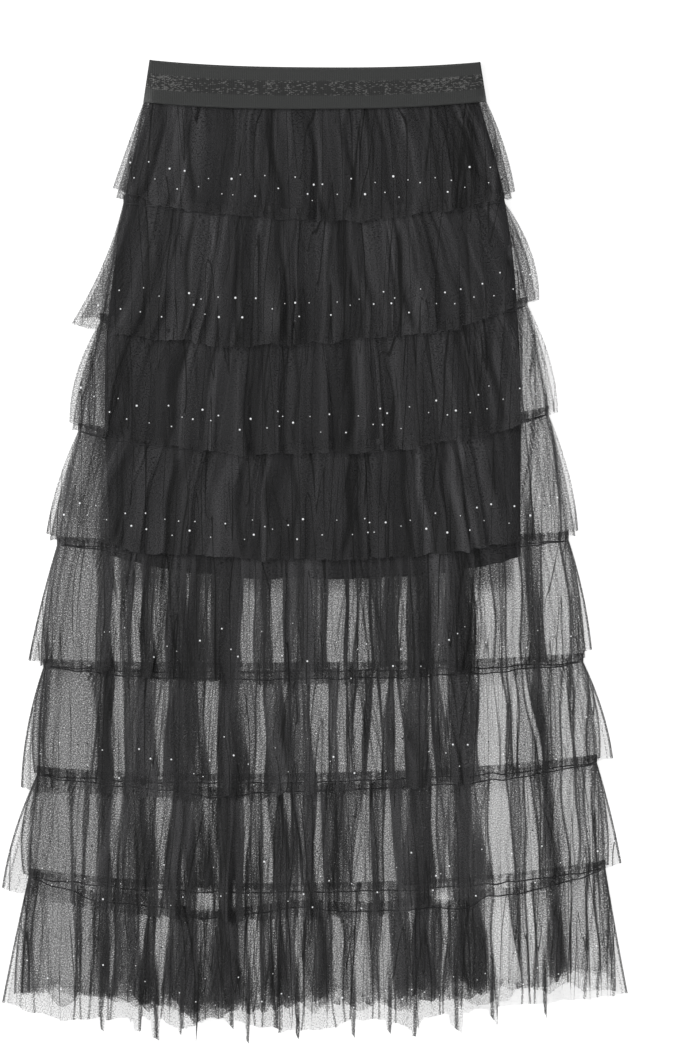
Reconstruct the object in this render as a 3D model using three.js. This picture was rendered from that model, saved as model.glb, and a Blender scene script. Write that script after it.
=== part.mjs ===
// Long layered net skirt, laid flat on its back on a table, front panels up.
// Millimetres: +Z is up from the table, +Y runs from the hem to the waist, +X is the viewer's right.
// "Down" is measured from the top corners of the waistband towards the hem, as on a pattern sheet.
// Every cloth is a wall of its own, and the front and back panels lie on each other.
import * as THREE from "three";

// Driving sizes
const clothWall = 1.0;
const elasticWall = 2.0;
const seamGap = 0.4;
const bandHeight = 41;
const bandHalfTop = 157;
const bandHalfLow = 163;
const bandDip = 4;
const headerHeight = 8.5;
const hemOverlap = 3;
const backHemClear = 1.6;
const sideRoll = 10;
const baseInset = 16;
const innerTopDrop = 2;
const gatherLoft = 12;
const gatherLean = 1.4;
const skirtHemDownCentre = 914;
const hemTip = 4;
const skirtHemTip = 15;
const dipPower = 2.5;
const columnsPerWave = 4;
const backColumns = 16;
const layerStep = clothWall + seamGap;

// Underside of each layer, counted from the table
const level = {
  backTier: 0,
  backBase: layerStep,
  backLining: 2 * layerStep,
  frontLining: 3 * layerStep,
  frontBase: 4 * layerStep,
  frontTier: 5 * layerStep,
  tierHem: 7 * layerStep,
  tierHemSide: 2 * layerStep + 0.1,
};

// One row for each tier, from the waist. seamL and seamR say how far down its gathered seam is at the
// sides, dip how much lower it runs in the middle of the front, and backDip in the middle of the back.
// The half widths are at the seam, half way down and at the hem. hemDownL and hemDownR are the free
// corners, flapL is the part of hemL that only the front panel's folded-out corner reaches, and waves
// is the number of gathers that the front panel stands up in.
const tiers = [
  { seamL: 41, seamR: 40, dip: 4, backDip: 4, topL: 163, topR: 163, midL: 178, midR: 180, hemL: 192, hemR: 190,
    hemDownL: 122, hemDownR: 125, flapL: 0, waves: 15 },
  { seamL: 136, seamR: 135, dip: 14, backDip: 8, topL: 182, topR: 180, midL: 201, midR: 205, hemL: 231, hemR: 213,
    hemDownL: 250, hemDownR: 228, flapL: 21, waves: 17 },
  { seamL: 249, seamR: 233, dip: 25, backDip: 17, topL: 204, topR: 202, midL: 226, midR: 223, hemL: 233, hemR: 231,
    hemDownL: 343, hemDownR: 335, flapL: 0, waves: 18 },
  { seamL: 353, seamR: 337, dip: 26, backDip: 18, topL: 225, topR: 222, midL: 244, midR: 241, hemL: 255, hemR: 250,
    hemDownL: 449, hemDownR: 447, flapL: 0, waves: 20 },
  { seamL: 461, seamR: 456, dip: 12, backDip: 6, topL: 245, topR: 241, midL: 260, midR: 255, hemL: 272, hemR: 263,
    hemDownL: 569, hemDownR: 561, flapL: 0, waves: 21 },
  { seamL: 577, seamR: 572, dip: 13, backDip: 6, topL: 258, topR: 255, midL: 273, midR: 273, hemL: 279, hemR: 283,
    hemDownL: 690, hemDownR: 662, flapL: 0, waves: 23 },
  { seamL: 679, seamR: 668, dip: 20, backDip: 12, topL: 264, topR: 268, midL: 285, midR: 281, hemL: 297, hemR: 291,
    hemDownL: 785, hemDownR: 762, flapL: 0, waves: 24 },
  { seamL: 776, seamR: 768, dip: 37, backDip: 18, topL: 272, topR: 276, midL: 285, midR: 286, hemL: 297, hemR: 297,
    hemDownL: 896, hemDownR: 889, flapL: 0, waves: 26 },
];

// Free hems of the layers under the front tiers.
const backHem = { downL: 888, downR: 878, dip: -4 };
const baseHem = { downL: 880, downR: 868, dip: 8, halfL: 283, halfR: 286 };

// One row for each section of the lining: how far down it is at the sides, and its half widths
const liningSections = [
  { down: bandHeight + innerTopDrop, dip: bandDip, halfL: 146, halfR: 145 },
  { down: 100, dip: 8, halfL: 162, halfR: 160 },
  { down: 180, dip: 14, halfL: 177, halfR: 175 },
  { down: 256, dip: 18, halfL: 186, halfR: 184 },
  { down: 470, dip: 23, halfL: 195, halfR: 195 },
];

// Colours of the real cloths
const netBlack = new THREE.MeshStandardMaterial({ color: 0x38383b, roughness: 0.85, metalness: 0 });
const liningBlack = new THREE.MeshStandardMaterial({ color: 0x2b2b2e, roughness: 0.9, metalness: 0 });
const elasticBlack = new THREE.MeshStandardMaterial({ color: 0x3d3f3e, roughness: 0.7, metalness: 0.05 });

const skirt = new THREE.Group();

// A line across the skirt: straight between its two side values, plus a dip that is deepest in the middle.
const across = (u, atLeft, atRight, dip) =>
  THREE.MathUtils.lerp(atLeft, atRight, (u + 1) / 2) + dip * (1 - Math.abs(u) ** dipPower);

// The parabola through three values at v = 0, 0.5 and 1.
const through = (v, start, middle, end) =>
  start * (1 - v) * (1 - 2 * v) + 4 * middle * v * (1 - v) + end * v * (2 * v - 1);

// Place from side share u (-1 left, 1 right), the two half widths there, the down measure and a height.
const placeOf = (u, halfL, halfR, down, z) => new THREE.Vector3(u < 0 ? u * halfL : u * halfR, -down, z);

// Height of a front panel over its own side edge: it rolls up from the edge like a folded cloth.
function rolled(u, half, edgeHeight, flatHeight) {
  const inward = (1 - Math.abs(u)) * half;
  const share = Math.min(1, inward / sideRoll);
  return THREE.MathUtils.lerp(edgeHeight, flatHeight, Math.sin((share * Math.PI) / 2));
}

// A wall of even thickness on a grid of underside points: rows of columns, each point moved along
// the grid's own normal for the outer face, and closed by strips round the four edges.
function wallGeometry(under, thickness) {
  const rows = under.length;
  const columns = under[0].length;
  const clampRow = (i) => Math.max(0, Math.min(rows - 1, i));
  const clampColumn = (j) => Math.max(0, Math.min(columns - 1, j));
  const outer = under.map((row, i) =>
    row.map((point, j) => {
      const alongRow = row[clampColumn(j + 1)].clone().sub(row[clampColumn(j - 1)]);
      const downRows = under[clampRow(i + 1)][j].clone().sub(under[clampRow(i - 1)][j]);
      const normal = downRows.cross(alongRow).normalize();
      return point.clone().addScaledVector(normal, thickness);
    }),
  );
  const points = [...under.flat(), ...outer.flat()];
  const at = (i, j, isOuter) => (isOuter ? rows * columns : 0) + i * columns + j;
  const faces = [];
  const quad = (a, b, c, d) => faces.push(a, b, c, a, c, d);
  for (let i = 0; i < rows - 1; i++) {
    for (let j = 0; j < columns - 1; j++) {
      quad(at(i, j, true), at(i + 1, j, true), at(i + 1, j + 1, true), at(i, j + 1, true));
      quad(at(i, j, false), at(i, j + 1, false), at(i + 1, j + 1, false), at(i + 1, j, false));
    }
    quad(at(i, 0, true), at(i, 0, false), at(i + 1, 0, false), at(i + 1, 0, true));
    const last = columns - 1;
    quad(at(i, last, false), at(i, last, true), at(i + 1, last, true), at(i + 1, last, false));
  }
  for (let j = 0; j < columns - 1; j++) {
    quad(at(0, j, false), at(0, j, true), at(0, j + 1, true), at(0, j + 1, false));
    const last = rows - 1;
    quad(at(last, j, true), at(last, j, false), at(last, j + 1, false), at(last, j + 1, true));
  }
  const geometry = new THREE.BufferGeometry();
  geometry.setAttribute("position", new THREE.Float32BufferAttribute(points.flatMap((p) => p.toArray()), 3));
  geometry.setIndex(faces);
  geometry.computeVertexNormals();
  return geometry;
}

function addPanel(name, under, thickness, material) {
  const mesh = new THREE.Mesh(wallGeometry(under, thickness), material);
  mesh.name = name;
  skirt.add(mesh);
}

const evenly = (count) => Array.from({ length: count + 1 }, (_, j) => (2 * j) / count - 1);

// Waistband: one wide elastic, its back half on the table and its front half resting on it.
// The front half rises towards its lower edge, where the gathered cloth is sewn under it.
const bandRows = [0, 0.5, 1];
const bandFrontRise = level.frontTier - elasticWall - seamGap - clothWall;

function bandPoints(isFront) {
  return bandRows.map((v) =>
    evenly(backColumns).map((u) => {
      const half = THREE.MathUtils.lerp(bandHalfTop, bandHalfLow, v);
      const topEdge = across(u, 0, 2, bandDip + 2);
      const lowEdge = across(u, bandHeight - seamGap, bandHeight - seamGap - 1, bandDip);
      const lifted = elasticWall + seamGap + bandFrontRise * v * v;
      const z = isFront ? rolled(u, half, elasticWall + seamGap, lifted) : 0;
      return placeOf(u, half, half, THREE.MathUtils.lerp(topEdge, lowEdge, v), z);
    }),
  );
}
addPanel("waistband_front", bandPoints(true), elasticWall, elasticBlack);
addPanel("waistband_back", bandPoints(false), elasticWall, elasticBlack);

// Lining: a plain knee-high tube, two panels between the two halves of the net under-skirt
function liningPoints(z) {
  return liningSections.map((row) =>
    evenly(backColumns).map((u) => placeOf(u, row.halfL, row.halfR, across(u, row.down, row.down, row.dip), z)),
  );
}
addPanel("lining_front", liningPoints(level.frontLining), clothWall, liningBlack);
addPanel("lining_back", liningPoints(level.backLining), clothWall, liningBlack);

// Under-skirt: the net that the tiers are sewn to, with one section at each tier's seam and one at its hem
const baseSections = [
  ...tiers.map((t) => ({ downL: t.seamL + innerTopDrop, downR: t.seamR + innerTopDrop, dip: t.dip,
    halfL: t.topL - baseInset, halfR: t.topR - baseInset })),
  { ...baseHem, halfL: baseHem.halfL - baseInset, halfR: baseHem.halfR - baseInset },
];

function basePoints(z) {
  return baseSections.map((row) =>
    evenly(backColumns).map((u) => placeOf(u, row.halfL, row.halfR, across(u, row.downL, row.downR, row.dip), z)),
  );
}
addPanel("base_front", basePoints(level.frontBase), clothWall, netBlack);
addPanel("base_back", basePoints(level.backBase), clothWall, netBlack);

// Seam line of a tier; the first one starts at the waistband's lower edge and has no header above it.
const seamDown = (tier, u, dip) => across(u, tier.seamL, tier.seamR, dip);
const headerOf = (index) => (index === 0 ? 0 : headerHeight);

// Side share of another tier's seam at the same place across the skirt
function shareOf(u, halfL, halfR, other) {
  const share = u < 0 ? (u * halfL) / other.topL : (u * halfR) / other.topR;
  return THREE.MathUtils.clamp(share, -1, 1);
}

// Share of the way across for each column of a front panel. The gathers are unevenly spaced, and the
// panel's ends stay on its side edges.
function gatheredColumns(tier, index) {
  const count = tier.waves * columnsPerWave;
  return Array.from({ length: count + 1 }, (_, j) => {
    const c = j / count;
    const drift = 0.013 * Math.sin(2 * Math.PI * 5 * c + index) + 0.008 * Math.sin(2 * Math.PI * 9 * c + 2.3 * index);
    return { c, u: 2 * (c + drift * Math.sin(Math.PI * c)) - 1 };
  });
}

// Front tier: four rows, the header's top, the seam, half way down and the hem. Its gathers start flat
// at the seam, and grow with the power 1.3 of the way down; their crests hang a little lower at the hem.
function frontTierPoints(tier, index) {
  const next = tiers[index + 1];
  const header = headerOf(index);
  const middleHem = next ? seamDown(next, 0, next.dip) + hemOverlap : skirtHemDownCentre;
  const hemDip = middleHem - (tier.hemDownL + tier.hemDownR) / 2;
  const flatHem = next ? level.tierHem : level.frontTier;
  const tip = next ? hemTip : skirtHemTip;
  return [-1, 0, 0.5, 1].map((row) => {
    const v = Math.max(0, row);
    const halfL = through(v, tier.topL, tier.midL, tier.hemL);
    const halfR = through(v, tier.topR, tier.midR, tier.hemR);
    return gatheredColumns(tier, index).map(({ c, u }) => {
      const half = u < 0 ? halfL : halfR;
      const crest = 0.5 - 0.5 * Math.cos(2 * Math.PI * tier.waves * c);
      const lean = Math.sin(2 * Math.PI * tier.waves * c);
      const uneven = 0.72 + 0.28 * Math.sin(11 * u + 2 * index);
      const sideFade = Math.min(1, ((1 - Math.abs(u)) * half) / (2 * sideRoll));
      const growth = v ** 1.3 * sideFade;
      const edgeHeight = THREE.MathUtils.lerp(level.backBase, level.tierHemSide, v);
      const flatHeight = THREE.MathUtils.lerp(level.frontTier, flatHem, v);
      const z = rolled(u, half, edgeHeight, flatHeight) + gatherLoft * uneven * crest * growth;
      const seam = seamDown(tier, u, tier.dip) - (row < 0 ? header : 0);
      const hem = across(u, tier.hemDownL, tier.hemDownR, hemDip) + tip * crest * uneven * sideFade;
      const point = placeOf(u, halfL, halfR, THREE.MathUtils.lerp(seam, hem, v), z);
      point.x += gatherLean * lean * growth;
      return point;
    });
  }).slice(header > 0 ? 0 : 1);
}

// Back tier: flat on the table, from its header down to just above the next tier's header.
function backTierPoints(tier, index) {
  const next = tiers[index + 1];
  return [-1, 0, 0.5, 1].map((row) => {
    const v = Math.max(0, row);
    const halfL = through(v, tier.topL, tier.midL, tier.hemL - tier.flapL);
    const halfR = through(v, tier.topR, tier.midR, tier.hemR);
    return evenly(backColumns).map((u) => {
      const seam = seamDown(tier, u, tier.backDip) - (row < 0 ? headerOf(index) : 0);
      const hem = next
        ? seamDown(next, shareOf(u, halfL, halfR, next), next.backDip) - headerHeight - backHemClear
        : across(u, backHem.downL, backHem.downR, backHem.dip);
      return placeOf(u, halfL, halfR, THREE.MathUtils.lerp(seam, hem, v), level.backTier);
    });
  }).slice(index === 0 ? 1 : 0);
}

tiers.forEach((tier, index) => {
  addPanel(`tier_${index + 1}_front`, frontTierPoints(tier, index), clothWall, netBlack);
  addPanel(`tier_${index + 1}_back`, backTierPoints(tier, index), clothWall, netBlack);
});

// The origin is the middle of the part's underside.
const box = new THREE.Box3().setFromObject(skirt);
const middle = box.getCenter(new THREE.Vector3());
skirt.position.set(-middle.x, -middle.y, -box.min.z);

export default skirt;
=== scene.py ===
# A long layered net skirt, laid flat on its back on a pale table, front panels up.
# Metres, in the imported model's frame: +Z up from the table, +Y towards the waist, +X the viewer's right.
from collections import namedtuple

import bpy
import numpy as np
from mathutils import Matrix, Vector


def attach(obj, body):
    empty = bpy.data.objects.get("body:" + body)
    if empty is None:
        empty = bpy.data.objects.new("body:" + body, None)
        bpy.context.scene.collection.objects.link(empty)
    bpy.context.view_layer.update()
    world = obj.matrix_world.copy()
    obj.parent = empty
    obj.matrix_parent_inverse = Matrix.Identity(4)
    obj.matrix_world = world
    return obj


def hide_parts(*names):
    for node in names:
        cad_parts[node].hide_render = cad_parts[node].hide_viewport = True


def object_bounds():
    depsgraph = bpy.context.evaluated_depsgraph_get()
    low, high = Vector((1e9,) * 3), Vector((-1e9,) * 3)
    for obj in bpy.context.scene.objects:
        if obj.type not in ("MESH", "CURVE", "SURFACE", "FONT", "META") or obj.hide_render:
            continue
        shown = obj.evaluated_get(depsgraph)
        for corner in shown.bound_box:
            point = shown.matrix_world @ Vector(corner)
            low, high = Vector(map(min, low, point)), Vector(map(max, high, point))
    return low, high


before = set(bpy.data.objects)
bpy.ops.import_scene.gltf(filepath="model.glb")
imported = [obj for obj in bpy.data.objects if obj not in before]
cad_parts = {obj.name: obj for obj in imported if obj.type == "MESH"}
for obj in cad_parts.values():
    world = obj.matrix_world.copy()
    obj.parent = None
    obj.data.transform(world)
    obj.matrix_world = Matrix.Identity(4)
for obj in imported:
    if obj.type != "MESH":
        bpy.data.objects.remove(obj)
cad_box = [[float(value) for value in corner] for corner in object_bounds()]

# Table, light and camera
# The skirt lies on a matt white table top under two broad soft lamps, in an evenly white room. The camera
# looks straight down at it from far off, framed as a 680 by 1055 picture.
waist_y = cad_box[1][1]
picture_height = 1.0023
picture_centre = (0.0238, 0.0203)
camera_height = 3.4
sensor = 0.036


def plain_mesh(name, points, faces):
    """An object whose mesh has these points and faces, with its place in the mesh."""
    mesh = bpy.data.meshes.new(name)
    mesh.from_pydata(np.asarray(points).tolist(), [], faces)
    mesh.update()
    made = bpy.data.objects.new(name, mesh)
    bpy.context.scene.collection.objects.link(made)
    return made


class Finish:
    """A node material. add makes one node, and each other call makes a node and gives back its output,
    which the next call takes."""

    def __init__(self, name):
        self.material = bpy.data.materials.new(name)
        self.material.use_nodes = True
        self.tree = self.material.node_tree
        self.tree.nodes.clear()

    def add(self, kind, inputs=None, **settings):
        """A node with these settings, whose inputs are set to values or linked to outputs."""
        node = self.tree.nodes.new(kind)
        for key, value in settings.items():
            setattr(node, key, value)
        for key, value in (inputs or {}).items():
            if isinstance(value, bpy.types.NodeSocket):
                self.tree.links.new(value, node.inputs[key])
            else:
                node.inputs[key].default_value = value
        return node

    def place(self):
        """The place in the cloth, from the piece's own texture map."""
        return self.add("ShaderNodeUVMap", uv_map="cloth").outputs[0]

    def in_piece(self):
        """The place in the object, in metres."""
        return self.add("ShaderNodeTexCoord").outputs["Object"]

    def stretched(self, place, scale):
        """A place times a scale along each axis."""
        return self.add("ShaderNodeMapping", {"Vector": place, "Scale": scale}).outputs[0]

    def number(self, name):
        """The number that the piece's points carry under a name."""
        return self.add("ShaderNodeAttribute", attribute_name=name).outputs["Fac"]

    def speckle(self, place, scale, detail, roughness=0.5, kind="3D"):
        """Noise from 0 to 1 at a place."""
        inputs = {"Vector": place, "Scale": scale, "Detail": detail, "Roughness": roughness}
        return self.add("ShaderNodeTexNoise", inputs, noise_dimensions=kind).outputs[0]

    def calc(self, operation, *values):
        """A sum, product or other operation on one or two values."""
        return self.add("ShaderNodeMath", dict(enumerate(values)), operation=operation).outputs[0]

    def span(self, value, low, high, at_low, at_high):
        """A straight line from at_low to at_high while the value goes from low to high, level outside."""
        inputs = {"Value": value, "From Min": low, "From Max": high, "To Min": at_low, "To Max": at_high}
        return self.add("ShaderNodeMapRange", inputs).outputs[0]

    def toward(self, value, goal, share):
        """A value moved by a share of the way to a goal."""
        return self.add("ShaderNodeMix", {0: share, 2: value, 3: goal}).outputs[0]

    def tint(self, share, first, second):
        """The colour that lies a share of the way from the first to the second."""
        inputs = {0: share, "A": first, "B": second}
        return self.add("ShaderNodeMix", inputs, data_type="RGBA").outputs["Result"]

    def relief(self, height, strength, distance):
        """A surface direction that follows a height."""
        inputs = {"Height": height, "Strength": strength, "Distance": distance}
        return self.add("ShaderNodeBump", inputs).outputs[0]

    def coat(self, inputs):
        """Makes one plain shader with these inputs the whole surface."""
        shader = self.add("ShaderNodeBsdfPrincipled", inputs)
        self.add("ShaderNodeOutputMaterial", {"Surface": shader.outputs[0]})


table_half = 10.0
table_drop = 0.0004
table_glow = 0.62
table_top = plain_mesh(
    "table_top",
    [(x * table_half, y * table_half, -table_drop) for x, y in ((-1, -1), (1, -1), (1, 1), (-1, 1))],
    [(0, 1, 2, 3)],
)
table_paint = Finish("table_paint")
table_paint.coat({
    "Base Color": (0.86, 0.86, 0.86, 1),
    "Roughness": 0.9,
    "Emission Color": (1, 1, 1, 1),
    "Emission Strength": table_glow,
})
table_paint.material.cycles.emission_sampling = "NONE"
table_top.data.materials.append(table_paint.material)

lamps = [
    # name, place, size, watts
    ("lamp_key", (-2.2, 0.9, 1.5), 1.2, 40.0),
    ("lamp_fill", (1.4, -0.8, 2.4), 2.2, 16.0),
]
for lamp_name, place, size, watts in lamps:
    light = bpy.data.lights.new(lamp_name, "AREA")
    light.size = size
    light.energy = watts
    lamp = bpy.data.objects.new(lamp_name, light)
    lamp.location = place
    lamp.rotation_mode = "QUATERNION"
    lamp.rotation_quaternion = (-Vector(place)).to_track_quat("-Z", "Y")
    bpy.context.scene.collection.objects.link(lamp)

room = bpy.data.worlds.new("room")
room.use_nodes = True
room.node_tree.nodes["Background"].inputs[0].default_value = (1.0, 1.0, 1.0, 1)
room.node_tree.nodes["Background"].inputs[1].default_value = 0.34
bpy.context.scene.world = room

camera_data = bpy.data.cameras.new("camera")
camera_data.sensor_fit = "AUTO"
camera_data.sensor_width = sensor * 1000
camera_data.lens = sensor * 1000 * camera_height / picture_height
camera_data.clip_end = 20
camera = bpy.data.objects.new("camera", camera_data)
camera.location = (picture_centre[0], picture_centre[1], camera_height)
bpy.context.scene.collection.objects.link(camera)
bpy.context.scene.camera = camera
bpy.context.scene.view_settings.view_transform = "Standard"
bpy.context.scene.cycles.transparent_max_bounces = 40
bpy.context.scene.cycles.diffuse_bounces = 2
bpy.context.scene.cycles.glossy_bounces = 1

# Waistband
# One wide woven elastic joined into a ring and pressed flat, matt and finely ribbed, with a glittering
# metallic stripe woven along its middle. The skirt's cloths are sewn under its lower edge.
band_height = 0.041
band_half_top = 0.157
band_half_low = 0.163
band_dip = 0.004
band_wall = 0.0018
layer_step = 0.0014
side_roll = 0.010
dip_power = 2.5


def across(u, at_left, at_right, dip):
    """A line across the skirt: straight between its side values, plus dip times 1 - |u|^2.5."""
    return at_left + (at_right - at_left) * (u + 1) / 2 + dip * (1 - np.abs(u) ** dip_power)


def smooth(low, high, value):
    """0 below low, 1 above high, and 3t^2 - 2t^3 between them."""
    t = np.clip((value - low) / (high - low), 0, 1)
    return t * t * (3 - 2 * t)


def noise(place, seed):
    """Smooth noise from 0 to 1 along a line: seeded knots at whole numbers, joined by 3t^2 - 2t^3."""
    knots = np.random.default_rng(seed).random(4096)
    whole = np.floor(place).astype(int)
    t = place - whole
    t = t * t * (3 - 2 * t)
    return knots[whole % 4096] * (1 - t) + knots[(whole + 1) % 4096] * t


def rolled(u, half, edge_height, flat_height):
    """Height over a side edge: the quarter sine from edge_height to flat_height over side_roll inward."""
    share = np.clip((1 - np.abs(u)) * half / side_roll, 0, 1)
    return edge_height + (flat_height - edge_height) * np.sin(share * np.pi / 2)


def put(name, grid, body="root", wall=0.0, uv=None, numbers=None):
    """A sheet through a rows x columns x 3 grid of points, its faces up towards +Z where rows run down
    the skirt and columns run right. A wall above 0 makes it a closed shell of that thickness, below."""
    rows, columns = grid.shape[:2]
    index = np.arange(rows * columns).reshape(rows, columns)
    corners = [index[1:, :-1], index[1:, 1:], index[:-1, 1:], index[:-1, :-1]]
    faces = np.stack([c.ravel() for c in corners], axis=1)
    mesh = bpy.data.meshes.new(name)
    mesh.vertices.add(rows * columns)
    mesh.vertices.foreach_set("co", grid.reshape(-1).astype(np.float32))
    mesh.loops.add(faces.size)
    mesh.loops.foreach_set("vertex_index", faces.ravel().astype(np.int32))
    mesh.polygons.add(len(faces))
    mesh.polygons.foreach_set("loop_start", np.arange(0, faces.size, 4, dtype=np.int32))
    mesh.update(calc_edges=True)
    mesh.polygons.foreach_set("use_smooth", np.ones(len(faces), dtype=bool))
    if uv is not None:
        layer = mesh.uv_layers.new(name="cloth")
        layer.data.foreach_set("uv", uv.reshape(-1, 2)[faces.ravel()].ravel().astype(np.float32))
    for label, values in (numbers or {}).items():
        attribute = mesh.attributes.new(label, "FLOAT", "POINT")
        attribute.data.foreach_set("value", values.ravel().astype(np.float32))
    mesh.validate()
    made = bpy.data.objects.new(name, mesh)
    bpy.context.scene.collection.objects.link(made)
    if wall > 0:
        shell = made.modifiers.new("wall", "SOLIDIFY")
        shell.thickness = wall
        shell.offset = -1
    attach(made, body)
    return made


def stacked(*channels):
    """Three arrays as one grid of points, or two as one grid of texture places."""
    return np.stack(np.broadcast_arrays(*channels), axis=-1)


elastic = Finish("elastic")
band_place = elastic.place()
rib = elastic.add(
    "ShaderNodeTexWave",
    {"Vector": band_place, "Scale": 260.0, "Distortion": 0.6, "Detail": 1.0, "Detail Scale": 60.0},
    bands_direction="Y",
)
column = elastic.add(
    "ShaderNodeTexWave",
    {"Vector": band_place, "Scale": 180.0, "Distortion": 0.4},
    bands_direction="X",
)
long_flecks = elastic.stretched(band_place, (0.33, 1.0, 1.0))
flecks = elastic.add("ShaderNodeTexVoronoi", {"Vector": long_flecks, "Scale": 1500.0, "Randomness": 1.0})
fleck_tone = elastic.add("ShaderNodeSeparateColor", {0: flecks.outputs["Color"]})
stripe = elastic.number("stripe")
bright_share = elastic.calc("MULTIPLY", elastic.speckle(band_place, 26.0, 4.0, 0.7), elastic.number("glint"))
lit = elastic.calc("LESS_THAN", fleck_tone.outputs[0], bright_share)
metal = elastic.calc("MULTIPLY", lit, stripe)
ground = elastic.tint(
    elastic.speckle(band_place, 900.0, 3.0),
    (0.031, 0.0325, 0.0315, 1),
    (0.046, 0.048, 0.0465, 1),
)
dull = elastic.tint(stripe, ground, (0.019, 0.0195, 0.019, 1))
ribbed = elastic.calc("ADD", rib.outputs["Fac"], column.outputs["Fac"])
weave = elastic.calc("ADD", ribbed, fleck_tone.outputs[1])
elastic.coat({
    "Base Color": elastic.tint(metal, dull, (0.20, 0.20, 0.196, 1)),
    "Metallic": metal,
    "Roughness": 0.5,
    "Normal": elastic.relief(weave, 0.35, 0.0004),
    "Sheen Weight": 0.15,
    "Sheen Roughness": 0.4,
})

stripe_top = 0.33
stripe_low = 0.66


def elastic_panel(name, is_front, top_lift):
    """Half of the band: rows down its height and columns across it. Its front half rises towards the
    lower edge with the cube of the way down, and its edges are pressed rounded."""
    u, v = np.meshgrid(np.linspace(-1, 1, 161), np.linspace(0, 1, 33))
    half = band_half_top + (band_half_low - band_half_top) * v
    top_edge = across(u, 0.0, 0.002, band_dip + 0.002) + top_lift * (1 - u**8)
    low_edge = across(u, band_height - 0.0002, band_height - 0.0012, band_dip + 0.0030)
    down = top_edge + (low_edge - top_edge) * v
    if is_front:
        flat = 0.0022 + 0.0080 * v**3 + 0.0004 * (noise(u * 9 + 30, 5) - 0.5) * v
        height = rolled(u, half, 0.0022, flat) + band_wall
    else:
        height = np.full_like(u, band_wall)
    edge_press = np.minimum(v, 1 - v) * band_height
    height = height - 0.0006 * (1 - smooth(0, 0.002, edge_press))
    in_stripe = smooth(stripe_top - 0.03, stripe_top + 0.01, v)
    in_stripe = in_stripe * (1 - smooth(stripe_low - 0.01, stripe_low + 0.03, v))
    in_stripe = in_stripe + 0.5 * np.exp(-(((v - stripe_top + 0.02) / 0.012) ** 2))
    # Painted glints: the stripe's bright metal flecks crowd towards both ends of the band, standing in for
    # light caught where it turns at its sides; the noise terms vary their density at random.
    ends = 0.9 * np.exp(-(((u + 0.86) / 0.10) ** 2)) + 0.55 * np.exp(-(((u - 0.72) / 0.22) ** 2))
    glitter_and_painted_glints = 0.10 + 0.7 * ends + 0.35 * smooth(0.6, 0.9, noise(u * 40 + 90, 8)) + 0.2 * noise(u * 14 + 50, 9)
    return put(
        name,
        stacked(u * half, waist_y - down, height),
        wall=band_wall,
        uv=stacked(u * half, down),
        numbers={"stripe": in_stripe, "glint": glitter_and_painted_glints},
    )


for side, lift in (("front", 0.0016), ("back", 0.0)):
    band = elastic_panel(f"elastic_band_{side}", side == "front", lift)
    band.data.materials.append(elastic.material)
    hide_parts(f"waistband_{side}")

# Lining
# A plain opaque jersey tube to the knee, hanging free between the two halves of the net skirt, with a
# turned and topstitched hem. It is what makes the upper part of the skirt read solid black.
lining_sections = [
    # down, dip, half width left, half width right
    (0.038, 0.004, 0.156, 0.155),
    (0.100, 0.008, 0.174, 0.173),
    (0.180, 0.014, 0.188, 0.187),
    (0.256, 0.018, 0.197, 0.193),
    (0.470, 0.023, 0.195, 0.195),
]


def profile(places, values, at):
    """A smooth line through a table's values: cubic between them, with the mean of its two sides' slopes
    at each."""
    places = np.asarray(places, float)
    values = np.asarray(values, float)
    slopes = np.gradient(values, places)
    k = np.clip(np.searchsorted(places, at) - 1, 0, len(places) - 2)
    width = places[k + 1] - places[k]
    t = (at - places[k]) / width
    rise = (2 * t**3 - 3 * t**2 + 1) * values[k] + (-2 * t**3 + 3 * t**2) * values[k + 1]
    return rise + width * ((t**3 - 2 * t**2 + t) * slopes[k] + (t**3 - t**2) * slopes[k + 1])


jersey = Finish("jersey")
jersey_place = jersey.place()
knit = jersey.add(
    "ShaderNodeTexWave",
    {"Vector": jersey_place, "Scale": 320.0, "Distortion": 1.5, "Detail": 2.0, "Detail Scale": 4.0},
    bands_direction="X",
)
fuzzed = jersey.calc("MULTIPLY", jersey.speckle(jersey_place, 45.0, 6.0), jersey.number("shade"))
jersey.coat({
    "Base Color": jersey.tint(fuzzed, (0.012, 0.012, 0.013, 1), (0.058, 0.057, 0.062, 1)),
    "Roughness": 0.85,
    "Normal": jersey.relief(knit.outputs["Fac"], 0.3, 0.0003),
    "Sheen Weight": 0.1,
})

hem_turn = 0.018
lining_wall = 0.0006
lining_creases = [
    # place across at the top, at the hem, width, depth
    (-0.62, -0.70, 0.020, 0.0006),
    (-0.20, -0.28, 0.030, 0.0005),
    (0.16, 0.22, 0.024, 0.0006),
    (0.58, 0.66, 0.028, 0.0005),
]


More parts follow.
